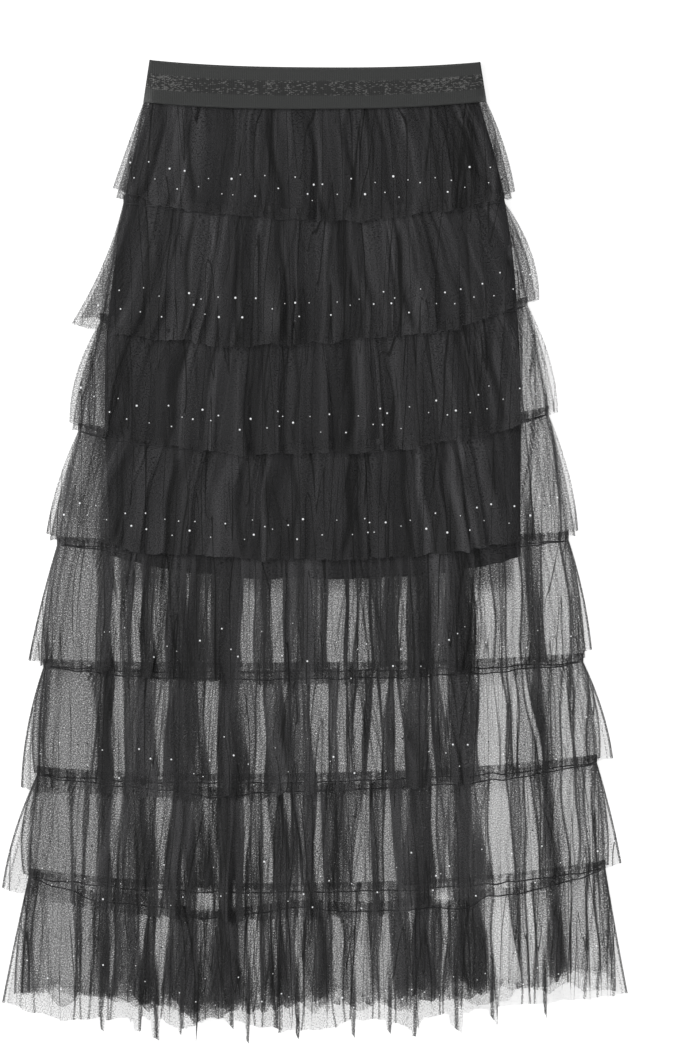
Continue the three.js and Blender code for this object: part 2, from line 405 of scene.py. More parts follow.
def lining_panel(name, height, seed):
    """Half of the lining: the sections' smooth sides and dips, soft creases that run down it as bell
    curves across, a hem line that wavers, and a step where its hem is turned up."""
    u, v = np.meshgrid(np.linspace(-1, 1, 121), np.linspace(0, 1, 61))
    tops = [row[0] for row in lining_sections]
    side_down = tops[0] + (tops[-1] - tops[0]) * v
    dip = profile(tops, [row[1] for row in lining_sections], side_down)
    left = profile(tops, [row[2] for row in lining_sections], side_down)
    right = profile(tops, [row[3] for row in lining_sections], side_down)
    half = np.where(u < 0, left, right)
    waver = 0.004 * (noise(u * 7 + 20, seed) - 0.5) + 0.002 * (noise(u * 23 + 20, seed + 1) - 0.5)
    down = across(u, side_down, side_down, dip) + waver * smooth(0.6, 1.0, v)
    z = np.full_like(u, height)
    for at_top, at_hem, width, depth in lining_creases:
        centre = at_top + (at_hem - at_top) * v
        z = z - depth * np.exp(-(((u - centre) * half / width) ** 2))
    hem_line = across(u, tops[-1], tops[-1], lining_sections[-1][1])
    z = z + 0.0004 * smooth(0, 0.001, down - (hem_line - hem_turn))
    sway = u * half + 0.006 * (noise(down * 12 + 5, seed + 2) - 0.5)
    tonal = 0.55 + 0.75 * noise(sway * 55 + 60, seed + 3) + 0.35 * (noise(sway * 140 + 60, seed + 4) - 0.5)
    return put(
        name,
        stacked(u * half, waist_y - down, z),
        wall=lining_wall,
        uv=stacked(u * half, down),
        numbers={"shade": tonal},
    )


for side, height in (("front", 0.0050), ("back", 0.0036)):
    lining = lining_panel(f"jersey_lining_{side}", height, 40 if side == "front" else 60)
    lining.data.materials.append(jersey.material)
    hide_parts(f"lining_{side}")

# Net
# Soft black tulle. One layer lets most of the light through, so how dark it looks is how many plies lie
# over each other: the "plies" number at each point says how closely the net is bunched there. Its colour
# also carries painted light and shade on the folds, from the "shade" number, and painted shade along the
# sharp creases.
net_pass = 0.80
net = Finish("net")
net_place = net.place()
plies = net.number("plies")
grain = net.speckle(net_place, 780.0, 1.0, 0.9, "2D")

# Sharp single creases are the lines where a long drawn-out noise passes 0.5. Its distance from 0.5 is
# divided by how steeply it changes beside there, so that all the lines are equally wide, and the "drawn"
# number says how many plies they add.
line_place = net.stretched(net_place, (62.0, 3.6, 1.0))
beside = net.add("ShaderNodeVectorMath", {0: line_place, 1: (0.1, 0.0, 0.0)}, operation="ADD").outputs[0]
line_field = net.speckle(line_place, 1.0, 1.0, 0.45, "2D")
field_beside = net.speckle(beside, 1.0, 1.0, 0.45, "2D")
from_line = net.calc("ABSOLUTE", net.calc("SUBTRACT", line_field, 0.5))
steepness = net.calc("ABSOLUTE", net.calc("SUBTRACT", field_beside, line_field))
line_steps = net.calc("DIVIDE", from_line, net.calc("ADD", steepness, 0.002))
on_line = net.span(line_steps, 0.16, 0.42, 1.0, 0.0)
line_plies = net.calc("MULTIPLY", on_line, net.number("drawn"))

# The mesh's own grain shows in a single layer and evens out where many lie over each other. Its tone
# evens out over the lining.
evened = net.span(plies, 1.8, 4.4, 0.0, 0.5)
grain_range = net.span(net.toward(grain, 0.5, evened), 0.36, 0.64, 0.0, 2.3)
all_plies = net.calc("ADD", net.calc("MULTIPLY", plies, grain_range), line_plies)
cover = net.calc("SUBTRACT", 1.0, net.calc("POWER", net_pass, all_plies))
# Painted light and shade: the thread colour follows the painted fold light of the "shade" number, and is
# painted darker, down to 0.12, along the sharp crease lines.
painted_cloth_light = net.calc("MULTIPLY", net.number("shade"), net.span(on_line, 0.0, 1.0, 1.0, 0.12))
grain_and_painted_light = net.calc("MULTIPLY", net.toward(grain, 0.5, net.number("backed")), painted_cloth_light)
net_coat = net.add(
    "ShaderNodeBsdfPrincipled",
    {
        "Base Color": net.tint(grain_and_painted_light, (0.012, 0.012, 0.012, 1), (0.098, 0.097, 0.101, 1)),
        "Roughness": 0.7,
        "Specular IOR Level": 0.15,
    },
)
clear_air = net.add("ShaderNodeBsdfTransparent")
sheer = net.add("ShaderNodeMixShader", {0: cover, 1: clear_air.outputs[0], 2: net_coat.outputs[0]})
net.add("ShaderNodeOutputMaterial", {"Surface": sheer.outputs[0]})

# The skirt's deep folds, where its whole width is folded over and the net lies many plies thick. They run
# from the lining's hem to the skirt's hem, through the tiers and the under-skirt alike.
deep_folds = [
    # place across at 0.50 down and at 0.88 down, width there, added plies
    (-0.198, -0.197, 0.009, 6.5),
    (-0.178, -0.172, 0.008, 3.0),
    (-0.163, -0.161, 0.012, 4.6),
    (-0.146, -0.152, 0.008, 3.2),
    (-0.124, -0.126, 0.028, 6.0),
    (-0.085, -0.082, 0.034, 6.6),
    (-0.046, -0.052, 0.009, 3.4),
    (-0.030, -0.033, 0.022, 4.4),
    (-0.008, 0.006, 0.014, 4.4),
    (0.028, 0.020, 0.007, 3.2),
    (0.048, 0.052, 0.006, 2.6),
    (0.070, 0.082, 0.010, 3.6),
    (0.100, 0.100, 0.030, 6.4),
    (0.134, 0.152, 0.028, 6.4),
    (0.186, 0.192, 0.005, 3.0),
    (0.206, 0.231, 0.012, 6.8),
]

# Between the folds the lower tiers have clear windows, where their net lies flat.
clear_windows = [
    # tier, place across at its seam and at its hem, half width at its seam and at its hem. Where one of
    # the widths is below 0, the window closes to a point on its way there
    (3, 0.204, 0.209, 0.008, 0.012),
    (4, 0.214, 0.221, 0.009, 0.014),
    (5, -0.230, -0.230, 0.024, 0.023),
    (5, -0.188, -0.188, 0.004, 0.005),
    (5, -0.168, -0.169, 0.004, 0.005),
    (5, -0.146, -0.146, 0.008, 0.004),
    (5, -0.120, -0.121, 0.004, -0.003),
    (5, -0.064, -0.063, 0.005, 0.007),
    (5, -0.036, -0.035, 0.006, 0.006),
    (5, 0.019, 0.021, 0.008, 0.009),
    (5, 0.037, 0.033, 0.004, 0.003),
    (5, 0.049, 0.046, 0.003, 0.007),
    (5, 0.064, 0.064, 0.004, -0.004),
    (5, 0.085, 0.083, 0.003, 0.004),
    (5, 0.122, 0.121, 0.004, -0.003),
    (5, 0.158, 0.162, 0.007, 0.010),
    (5, 0.186, 0.190, 0.007, 0.007),
    (5, 0.224, 0.232, 0.010, 0.013),
    (6, -0.232, -0.232, 0.023, 0.023),
    (6, -0.186, -0.187, 0.005, 0.007),
    (6, -0.145, -0.148, 0.008, 0.002),
    (6, -0.098, -0.097, 0.008, 0.004),
    (6, -0.051, -0.052, 0.003, 0.006),
    (6, -0.028, -0.026, 0.005, -0.005),
    (6, 0.003, 0.006, 0.010, 0.007),
    (6, 0.025, 0.026, 0.004, 0.005),
    (6, 0.043, 0.040, 0.005, 0.004),
    (6, 0.058, 0.056, 0.002, 0.009),
    (6, 0.065, 0.065, 0.006, -0.007),
    (6, 0.077, 0.082, 0.002, 0.006),
    (6, 0.107, 0.111, 0.001, 0.004),
    (6, 0.122, 0.125, 0.006, -0.006),
    (6, 0.166, 0.170, 0.012, 0.014),
    (6, 0.186, 0.192, 0.004, 0.002),
    (6, 0.198, 0.215, 0.002, 0.003),
    (6, 0.236, 0.240, 0.002, 0.006),
    (6, 0.250, 0.254, 0.007, 0.005),
    (7, -0.250, -0.250, 0.017, 0.020),
    (7, -0.223, -0.225, 0.006, 0.004),
    (7, -0.211, -0.212, 0.004, 0.007),
    (7, -0.187, -0.192, 0.007, 0.002),
    (7, -0.143, -0.148, 0.010, 0.001),
    (7, -0.126, -0.123, -0.003, 0.004),
    (7, -0.103, -0.099, 0.007, -0.007),
    (7, -0.096, -0.094, 0.004, 0.002),
    (7, -0.065, -0.066, 0.004, 0.001),
    (7, -0.047, -0.044, 0.003, 0.006),
    (7, -0.026, -0.023, 0.006, -0.006),
    (7, -0.017, -0.014, -0.002, 0.003),
    (7, 0.003, 0.004, 0.002, 0.006),
    (7, 0.048, 0.044, 0.004, 0.012),
    (7, 0.068, 0.073, 0.002, 0.008),
    (7, 0.112, 0.116, 0.003, 0.002),
    (7, 0.126, 0.127, -0.002, 0.004),
    (7, 0.172, 0.180, 0.009, 0.012),
    (7, 0.202, 0.208, 0.003, 0.007),
    (7, 0.240, 0.246, 0.007, 0.004),
    (7, 0.259, 0.262, 0.004, 0.002),
    (8, -0.247, -0.247, 0.018, 0.021),
    (8, -0.215, -0.218, 0.006, 0.004),
    (8, -0.193, -0.194, 0.004, 0.001),
    (8, -0.163, -0.165, 0.006, -0.003),
    (8, -0.144, -0.149, 0.008, 0.002),
    (8, -0.060, -0.054, 0.007, 0.004),
    (8, -0.038, -0.037, 0.004, 0.001),
    (8, -0.030, -0.028, 0.005, -0.004),
    (8, -0.013, -0.016, 0.005, 0.002),
    (8, 0.020, 0.024, 0.007, 0.004),
    (8, 0.046, 0.044, 0.004, 0.012),
    (8, 0.066, 0.068, 0.003, 0.009),
    (8, 0.092, 0.094, 0.005, -0.005),
    (8, 0.123, 0.121, 0.004, 0.001),
    (8, 0.176, 0.184, 0.008, 0.013),
    (8, 0.204, 0.206, 0.004, 0.002),
    (8, 0.262, 0.263, 0.002, 0.007),
]


def clear(x, fall, number):
    """1 inside a tier's clear windows and 0 outside them, and bell curves along their sides, for the dark
    lines there. A side runs from seam to hem, bowed out by a sine and wavering by another that grows
    with the fall, and is 1 mm soft."""
    inside = np.zeros_like(x)
    lines = np.zeros_like(x)
    t = np.clip(fall, 0, 1)
    for tier_number, at_seam, at_hem, narrow, wide in clear_windows:
        if tier_number != number + 1:
            continue
        middle = at_seam + (at_hem - at_seam) * t + 0.0010 * np.sin(7 * t + at_seam * 300)
        reach = (narrow + (wide - narrow) * t) * (0.85 + 0.22 * np.sin(np.pi * t))
        reach = reach + 0.0011 * np.sin(5.5 * t + at_seam * 900 + 2 * np.sign(x - middle)) * t
        off = np.abs(x - middle)
        inside = np.maximum(inside, 1 - smooth(reach - 0.0005, reach + 0.0005, off))
        lines = np.maximum(lines, np.exp(-(((off - reach - 0.0005) / 0.0007) ** 2)))
    return inside, lines


# In a few small places at the last seam the layers don't cover each other.
thin_patches = [
    # place across, down, half width, half height
    (-0.1045, 0.798, 0.0090, 0.0110),
    (-0.0765, 0.793, 0.0018, 0.0150),
    (0.1195, 0.795, 0.0090, 0.0080),
]


def thinned(x, down):
    """The share of the plies that is left: 1, down to a quarter inside the thin patches, whose edges fall
    with the sixth power of the distance."""
    left = np.ones_like(x)
    ragged = 0.3 * (noise(x * 700 + 700, 61) - 0.5)
    for place, low, half, tall in thin_patches:
        off = ((x - place) / half) ** 6 + np.abs((down - low) / tall + ragged) ** 6
        left = left * (1 - 0.75 * np.exp(-off))
    return left


def fold_plies(x, down, fall, seed):
    """Plies that the deep folds add at a place. Each is a belt whose middle runs straight down the skirt
    and wanders by noise. It is narrowest at a tier's seam, where fall is 0, and widest at its hem, where
    fall is 1. Its edges are crisp, with a dark line along each, and fine noise across breaks it into
    strands."""
    added = np.zeros_like(x)
    share = (down - 0.50) / 0.38
    for number, (upper, lower, width, more) in enumerate(deep_folds):
        key = number * 9 + seed
        centre = upper + (lower - upper) * share + 0.009 * (noise(down * 13 + key, seed) - 0.5)
        wide = width * (0.50 + 0.7 * fall) * (0.5 + noise(down * 18 + key, seed + 1))
        past_edge = np.abs(x - centre + 0.0016 * (noise(down * 60 + key, seed + 2) - 0.5)) - wide / 2
        thickness = more * (0.7 + 0.6 * noise(down * 9 + key, seed + 3))
        added += thickness * (1 - smooth(-0.0006, 0.0006, past_edge))
        added += 2.4 * np.exp(-((past_edge / 0.0007) ** 2))
    strands = noise((x + 0.006 * noise(down * 9, seed)) * 400 + 800, seed + 4)
    return added * (0.30 + 2.3 * strands**1.4)


def crease_plies(x, fall, half, count, seed):
    """Plies that single creases add, one loop step for each. They leave the seam in bundles of about six,
    fan out from it and lean across each other. Each is a bell curve about a millimetre wide across,
    bowed and wavering, that starts and ends at its own share of the tier's fall."""
    rng = np.random.default_rng(seed)
    bundles = rng.uniform(-half, half, max(count // 6, 1))
    added = np.zeros_like(x)
    for _ in range(count):
        bundle = bundles[rng.integers(len(bundles))]
        offset = rng.normal(0, 0.0075)
        lean = rng.normal(0, 0.008)
        fan = rng.uniform(0.1, 2.6)
        bow = rng.normal(0, 0.0042)
        turn = rng.uniform(0, 6.3)
        start = rng.uniform(-0.5, 0.45)
        end = rng.uniform(0.5, 1.3)
        width = rng.uniform(0.00045, 0.00095)
        more = rng.uniform(1.5, 7.5)
        middle = bundle + offset * (0.45 + fan * fall) + lean * fall + bow * np.sin(np.pi * fall)
        middle = middle + 0.0012 * np.sin(7 * fall + turn)
        along = smooth(start - 0.1, start + 0.12, fall) * (1 - smooth(end - 0.15, end + 0.1, fall))
        added += more * along * np.exp(-(((x - middle) / width) ** 2))
    return added


def pleat_plies(x, fall, half, count, seed):
    """Plies that a tier's own small pleats add, one loop step for each. Each is a crisp belt between two
    bowed lines, from a narrow end at the seam, or now and then at the hem, to a wide one, with a dark
    line along each side."""
    rng = np.random.default_rng(seed)
    added = np.zeros_like(x)
    for _ in range(count):
        place = rng.uniform(-half, half)
        narrow = rng.uniform(0.001, 0.004)
        wide = rng.uniform(0.004, 0.024)
        opening = fall if rng.random() < 0.7 else 1 - fall
        middle = place + rng.normal(0, 0.007) * fall + rng.normal(0, 0.003) * np.sin(np.pi * fall)
        reach = np.abs(x - middle)
        side = (narrow + (wide - narrow) * np.clip(opening, 0, 1) ** 0.8) / 2
        end = rng.uniform(0.7, 1.4)
        along = 1 - smooth(end - 0.2, end, fall)
        added += rng.uniform(0.8, 3.4) * along * (1 - smooth(side - 0.0004, side + 0.0004, reach))
        added += rng.uniform(2.0, 6.0) * along * np.exp(-(((reach - side) / 0.0006) ** 2))
    return added


def crowded(x):
    """1 over the middle of the skirt and 0.3 towards its sides, where few gathers lie."""
    return 1 - 0.7 * np.maximum(smooth(0.200, 0.212, -x), smooth(0.156, 0.162, x))


def pinched(x, fall, seed):
    """Place across in the cloth: its creases crowd at the seam, by a sine 5 cm long across that fades
    with the square of the fall."""
    return x + 0.0065 * np.sin(2 * np.pi * (x / 0.05 + 0.15 * np.sin(9 * x + seed)) + seed) * (1 - fall) ** 2


def streak_plies(x, down, per_metre, seed):
    """Fine gathers seen as streaks: the power of smooth noise across, which drifts slowly down the skirt."""
    slant = 0.010 * (noise(down * 14 + seed, seed) - 0.5)
    fine = noise((x + slant) * per_metre + 400, seed + 1)
    finer = noise((x - slant * 0.6) * per_metre * 3.1 + 900, seed + 2)
    return 1.7 * fine**3 + 1.3 * finer**3


def in_widest_belt(x):
    """1 in the widest belt of deep folds, falling to 0 beside it with the fourth power of the distance."""
    return np.exp(-(((x + 0.102) / 0.030) ** 4))


def below_lining(down):
    """0 over the lining and 1 below it, softly near its hem."""
    return smooth(0.40, 0.47, down)


def rim_plies(edge_in, down, seed):
    """Plies along a side: a doubled fold in the last 2 mm, and thin lines beside it that waver."""
    waver = 0.004 * (noise(down * 26 + seed, seed) - 0.5)
    lines = 3.4 * np.exp(-(((edge_in - 0.007 - waver) / 0.0009) ** 2))
    lines += 2.8 * np.exp(-(((edge_in - 0.017 - 1.8 * waver) / 0.0008) ** 2))
    return lines + 3.2 * (1 - smooth(0.0012, 0.0028, edge_in))


# Under-skirt
# The net skirt that the tiers are sewn to: two plain panels, smooth beside the lining and folded below
# it. Its raw hem ends 1 to 2 cm above the last tier's.
Tier = namedtuple(
    "Tier",
    "seam_left, seam_right, dip_front, dip_back, half_left, half_right, middle_left, middle_right, "
    "hem_left, hem_right, corner_left, corner_right, gathers",
)
tiers = [
    # seam's place down left and right, its dip in front and at the back, half widths left and right at
    # the seam, half way down and at the hem, hem's corner down left and right, gathers in front
    Tier(0.041, 0.040, 0.004, 0.004, 0.163, 0.163, 0.178, 0.180, 0.192, 0.190, 0.122, 0.125, 15),
    Tier(0.136, 0.135, 0.014, 0.008, 0.182, 0.180, 0.201, 0.205, 0.231, 0.213, 0.250, 0.228, 17),
    Tier(0.249, 0.233, 0.025, 0.017, 0.204, 0.202, 0.226, 0.223, 0.233, 0.231, 0.343, 0.335, 18),
    Tier(0.353, 0.337, 0.026, 0.018, 0.225, 0.222, 0.244, 0.241, 0.255, 0.250, 0.449, 0.447, 20),
    Tier(0.461, 0.456, 0.012, 0.006, 0.245, 0.241, 0.260, 0.255, 0.272, 0.263, 0.569, 0.561, 21),
    Tier(0.577, 0.572, 0.013, 0.006, 0.258, 0.255, 0.273, 0.273, 0.279, 0.283, 0.690, 0.662, 23),
    Tier(0.679, 0.668, 0.020, 0.012, 0.264, 0.268, 0.285, 0.281, 0.297, 0.291, 0.785, 0.762, 24),
    Tier(0.776, 0.768, 0.037, 0.018, 0.272, 0.276, 0.285, 0.286, 0.297, 0.297, 0.896, 0.889, 26),
]
BaseHem = namedtuple("BaseHem", "left, right, dip, half_left, half_right")
base_hem = BaseHem(0.884, 0.872, 0.018, 0.280, 0.284)
base_inset = 0.001
base_below_seam = 0.002
base_shape = (97, 481)
left_of_folds = -0.19
right_of_folds = 0.15
lining_tiers = 4


def base_side(seams, middles, steps):
    """The under-skirt's half width on one side, so many tiers down: it joins the half widths at the seams
    and swells out between them by a sine, by a seventh of what the tiers do."""
    straight = (np.array(seams[:-1]) + np.array(seams[1:])) / 2
    swells = 0.15 * np.maximum(0, np.array(middles) - straight)
    whole = np.clip(steps.astype(int), 0, len(middles) - 1)
    return profile(np.arange(len(seams)), seams, steps) + swells[whole] * np.sin(np.pi * (steps - whole))


def base_half(x, steps):
    """The under-skirt's half width on the side of a place, so many tiers down."""
    rows = [*tiers, base_hem]
    left = base_side([row.half_left for row in rows], [tier.middle_left for tier in tiers], steps)
    right = base_side([row.half_right for row in rows], [tier.middle_right for tier in tiers], steps)
    return np.where(x < 0, left, right)


def base_panel(name, height, is_front, seed):
    """Half of the under-skirt: its sides run through the tiers' seams. It is flat apart from shallow
    folds and carries the deep folds' plies below the lining. Its raw hem is scalloped by noise across,
    and lower in the widest belt."""
    lefts = [tier.seam_left + base_below_seam for tier in tiers] + [base_hem.left]
    rights = [tier.seam_right + base_below_seam for tier in tiers] + [base_hem.right]
    dips = [tier.dip_front if is_front else tier.dip_back for tier in tiers] + [base_hem.dip]
    steps = np.arange(len(dips))
    rows, columns = base_shape
    u, v = np.meshgrid(np.linspace(-1, 1, columns), np.linspace(0, len(tiers), rows))
    left, right, dip = (profile(steps, values, v) for values in (lefts, rights, dips))
    fall = v - np.floor(v)
    half = base_half(u, v) - base_inset
    edge_in = (1 - np.abs(u)) * half
    x = u * half
    scallop = 0.020 * (noise(x * 45 + 60, seed + 6) - 0.5) + 0.006 * (noise(x * 260 + 60, seed + 7) - 0.5)
    scallop = scallop - 0.001 + 0.012 * in_widest_belt(x) - 0.005 * smooth(-0.06, -0.04, x)
    down = across(u, left, right, dip) + scallop * smooth(len(tiers) - 0.6, len(tiers), v)
    z = height - 0.0038 * (1 - smooth(0, 0.014, edge_in)) * is_front
    z = z + 0.0005 * (noise(x * 90 + 300, seed) - 0.5)
    below = below_lining(down)
    window = np.zeros_like(x)
    for number in range(lining_tiers, len(tiers)):
        window += clear(x, fall, number)[0] * (np.floor(v) == number) * below
    gathered = 0.25 * streak_plies(x, down, 120, seed) + 0.42 * fold_plies(x, down, fall, seed + 20) * below
    creases = 0.8 * crease_plies(x, (v - 4.4) / 3.6, 0.25, 50, seed + 9) + 0.75
    gathered += creases * below * crowded(x)
    bunch = 1.15 + 0.2 * (x < left_of_folds) - 0.4 * (x > right_of_folds) + gathered * (1 - 0.92 * window)
    bunch += (0.7 - 0.4 * (x > right_of_folds)) * rim_plies(edge_in, down, seed)
    return put(
        name,
        stacked(x, waist_y - down, z),
        uv=stacked(x + seed, down),
        numbers={
            "plies": bunch * thinned(x, down),
            # Painted light: the shade rises with the same noise that lifts the shallow folds, so their
            # ridges are painted lighter.
            "shade": 0.6 + 0.7 * noise(x * 90 + 300, seed),
            "drawn": 5.0 * below * (1 - 0.8 * window) * thinned(x, down),
        },
    )


for side, height, seed in (("front", 0.0064, 101), ("back", 0.0020, 131)):
    base = base_panel(f"net_base_{side}", height, side == "front", seed)
    base.data.materials.append(net.material)
    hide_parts(f"base_{side}")

# Tiers
# Eight strips of net, each gathered along a narrow header and sewn to the under-skirt, so that it falls
# in uneven gathers to a free raw hem. Front and back halves meet at the side seams.
header = 0.0085
hem_overlap = 0.003
gather_loft = 0.012
skirt_hem_middle = 0.914
hem_tip = 0.002
skirt_hem_tip = 0.015
back_hem = (0.884, 0.874, 0.012)
front_shape = (25, 1161)
back_shape = (18, 481)
header_rows = 4
header_frill = 0.0016
creases_over_lining = 70
creases_below_lining = 95
flare_plies = [
    # left, right: the plies of each tier where it flares out past the under-skirt, from the first down
    (3.1, 3.2),
    (2.5, 2.2),
    (2.4, 0.7),
    (2.0, 1.2),
    (2.6, 1.1),
    (2.4, 0.9),
    (1.2, 0.9),
    (1.2, 0.9),
]
hem_tips = [
    # place across, length, half width: the last tier's narrow hanging tips
    (-0.203, 0.014, 0.0016),
    (-0.165, 0.012, 0.0014),
    (-0.150, 0.020, 0.0022),
    (-0.126, 0.004, 0.0014),
    (-0.111, 0.016, 0.0010),
    (-0.079, 0.005, 0.0030),
    (-0.063, 0.018, 0.0014),
    (-0.036, 0.002, 0.0020),
    (-0.016, 0.004, 0.0030),
    (0.037, 0.016, 0.0016),
    (0.071, 0.010, 0.0016),
    (0.095, 0.007, 0.0010),
    (0.134, 0.014, 0.0036),
    (0.168, 0.012, 0.0040),
    (0.218, 0.012, 0.0018),
]
main_creases = [
    # tier, place across at its seam and at its hem, width, strength: the long creases over the lining
    (1, -0.119, -0.117, 0.0030, 1.0),
    (1, -0.060, -0.052, 0.0022, 0.5),
    (1, -0.046, -0.030, 0.0030, 0.9),
    (1, -0.010, 0.014, 0.0028, 0.9),
    (1, 0.030, 0.041, 0.0030, 0.9),
    (1, 0.058, 0.075, 0.0026, 0.8),
    (1, 0.086, 0.098, 0.0024, 0.5),
    (1, 0.128, 0.172, 0.0024, 0.6),
    (2, -0.160, -0.163, 0.0026, 0.8),
    (2, -0.116, -0.127, 0.0034, 1.0),
    (2, -0.073, -0.070, 0.0026, 0.8),
    (2, -0.031, -0.022, 0.0028, 0.9),
    (2, 0.017, 0.013, 0.0028, 0.8),
    (2, 0.072, 0.092, 0.0032, 1.0),
    (2, 0.106, 0.119, 0.0026, 0.8),
    (2, 0.136, 0.153, 0.0028, 0.8),
    (3, -0.176, -0.183, 0.0026, 0.7),
    (3, -0.122, -0.139, 0.0038, 1.2),
    (3, -0.066, -0.070, 0.0024, 0.5),
    (3, -0.018, -0.020, 0.0030, 0.8),
    (3, 0.034, 0.029, 0.0036, 1.1),
    (3, 0.108, 0.118, 0.0028, 0.8),
    (3, 0.163, 0.178, 0.0030, 0.9),
    (4, -0.178, -0.192, 0.0028, 0.8),
    (4, -0.134, -0.141, 0.0038, 1.2),
    (4, -0.071, -0.066, 0.0026, 0.7),
    (4, -0.019, -0.020, 0.0028, 0.8),
    (4, 0.034, 0.028, 0.0036, 1.1),
    (4, 0.080, 0.091, 0.0028, 0.8),
    (4, 0.131, 0.149, 0.0030, 0.9),
]
seam_sags = [
    # tier, place across, half width, drop: where a front seam hangs lower or is caught higher
    (7, -0.092, 0.030, 0.006),
    (8, -0.205, 0.020, 0.005),
    (8, -0.104, 0.032, 0.007),
    (8, -0.012, 0.030, -0.005),
    (8, 0.138, 0.020, 0.005),
    (8, 0.166, 0.012, -0.004),
]


def sagging(x, number):
    """How far a front tier's seam hangs below its smooth line: the sum of the table's bell curves."""
    hang = np.zeros_like(x)
    for tier_number, place, reach, drop in seam_sags:
        if tier_number == number + 1:
            hang = hang + drop * np.exp(-(((x - place) / reach) ** 2))
    return hang


def through(v, start, middle, end):
    """The parabola through three values at v = 0, 0.5 and 1."""
    return start * (1 - v) * (1 - 2 * v) + 4 * middle * v * (1 - v) + end * v * (2 * v - 1)


def placed_creases(x, fall, number):
    """The main creases of a tier: bell curves across at the places that the table gives, bowed 2 mm."""
    marked = np.zeros_like(x)
    for tier_number, at_seam, at_hem, width, strength in main_creases:
        if tier_number == number + 1:
            middle = at_seam + (at_hem - at_seam) * fall + 0.002 * np.sin(2.4 * np.pi * fall + at_seam * 90)
            along = smooth(-0.2, 0.25, fall) * (1 - 0.6 * smooth(0.85, 1.0, fall))
            marked += strength * along * np.exp(-(((x - middle) / width) ** 2))
    return marked


def side_width(tier, below, side, v, number, is_front):
    """A tier's half width on one side, the parabola through its seam, middle and hem. The back tiers
    flare past the under-skirt by 0.7, or lower down by a fifth, of what the front ones do."""
    at_seam, middle, at_hem = (getattr(tier, f"{part}_{side}") for part in ("half", "middle", "hem"))
    if is_front:
        return through(v, at_seam, middle, at_hem)
    straight = getattr(below, f"half_{side}") if below else at_hem - 0.014
    end = straight + (0.7 if number < lining_tiers else 0.2) * (at_hem - straight)
    centre = (at_seam + straight) / 2
    return through(v, at_seam, centre + 0.6 * (middle - centre), end)


def tier_grid(tier, number, is_front):
    """Shares of a tier's grid: the gathered share from 0 to 1, the side share u, the way down v, which is
    0 in the header, the header's own share from 1 at its top to 0 at the seam, and the half width. The
    front's columns drift by two sines, which makes its gathers uneven."""
    rows, columns = front_shape if is_front else back_shape
    share = np.linspace(0, 1, columns)
    across_share = 2 * share - 1
    if is_front:
        drift = 0.013 * np.sin(10 * np.pi * share + number)
        drift = drift + 0.008 * np.sin(18 * np.pi * share + 2.3 * number)
        across_share = 2 * (share + drift * np.sin(np.pi * share)) - 1
    v_line = np.concatenate([np.zeros(header_rows), np.linspace(0, 1, rows - header_rows) ** 0.9])
    h_line = np.concatenate([np.linspace(1, 0, header_rows + 1)[:-1], np.zeros(rows - header_rows)])
    u, v = np.meshgrid(across_share, v_line)
    share_grid, up = np.meshgrid(share, h_line)
    if number == 0:
        up = up * 0.02
    below = tiers[number + 1] if number + 1 < len(tiers) else None
    left = side_width(tier, below, "left", v, number, is_front)
    right = side_width(tier, below, "right", v, number, is_front)
    return share_grid, u, v, up, np.where(u < 0, left, right)


lining_downs = [row[0] for row in lining_sections]
lining_halves = [(row[2] + row[3]) / 2 for row in lining_sections]


def creases_on(number):
    """How many single creases a tier has."""
    return creases_over_lining if number < lining_tiers else creases_below_lining


def over_lining(x, down):
    """1 where the net lies over the lining and 0 beyond its sides and its hem, softly between them."""
    half = profile(lining_downs, lining_halves, np.minimum(down, 0.52))
    return smooth(0.004, 0.012, half - np.abs(x)) * (1 - smooth(0.49, 0.51, down))


def bunching(x, down, v, up, edge_in, number, seed, amount):
    """A tier's plies: one, more where its gathers crowd under the seam and in the header, plus streaks,
    creases, pleats and the deep folds, which show below the lining, less in the clear windows and the
    thin patches. Over the lining the gathers lie closer, which adds 2.4. Past the under-skirt's side the
    table's own plies hold. The last tier is one ply in a strip along its hem, with dark rolled tips."""
    is_last = number + 1 == len(tiers)
    frill = 0.3 + 2.0 * smooth(0.3, 0.7, noise(x * 400 + 500, seed + 7))
    crowd = 0.45 * (1 - smooth(0, 0.16, v)) * frill + 0.9 * smooth(0, 0.2, up) * frill
    half = float(np.abs(x).max())
    window, sides = clear(x, v, number)
    total = 0.95 + 0.35 * (x < left_of_folds) - 0.42 * (x > right_of_folds) - 0.35 * is_last + crowd
    own = crease_plies(x, v, half, creases_on(number), seed + 6) * (1 - 0.3 * window)
    own += pleat_plies(x, v, half, 24, seed + 16) * (1 - 0.95 * window)
    below = below_lining(down)
    own = (amount * own + 0.5 * below * (1 - window)) * (1 - below + below * crowded(x))
    own += 0.3 * streak_plies(x, down, 150, seed + 5) * (1 - 0.9 * window)
    total += (2.4 + 2.5 * placed_creases(x, v, number)) * over_lining(x, down)
    for place, _, _ in hem_tips if is_last else []:
        total += 7.0 * smooth(0.5, 0.85, v) * np.exp(-(((x - place) / 0.0017) ** 4))
    own += 0.38 * fold_plies(x, down, v, seed + 8) * below * (1 - 0.92 * window)
    if is_last:
        strip = smooth(0.82, 0.85, v + 0.05 * noise(x * 60 + 90, seed + 21) - 0.06 * in_widest_belt(x))
        own = own * (1 - 0.92 * strip) + 0.55 * strip
    total += own + 6.5 * amount * sides
    beyond = np.abs(x) - base_half(x, number + np.minimum(v, 0.999))
    outside = smooth(-0.0005, 0.0015, beyond)
    few = 0.26 * crease_plies(x, v, half, 40, seed + 26)
    left, right = flare_plies[number]
    total = total * (1 - outside) + outside * (np.where(x < 0, left, right) + few)
    total += 2.6 * np.exp(-(((beyond + 0.001) / 0.0011) ** 2)) * smooth(0.0, 0.1, v)
    total += 6.0 * amount * below * (1 - smooth(0.0014, 0.0026, edge_in))
    return (total + 0.45 * rim_plies(edge_in, down, seed + 9)) * thinned(x, down)


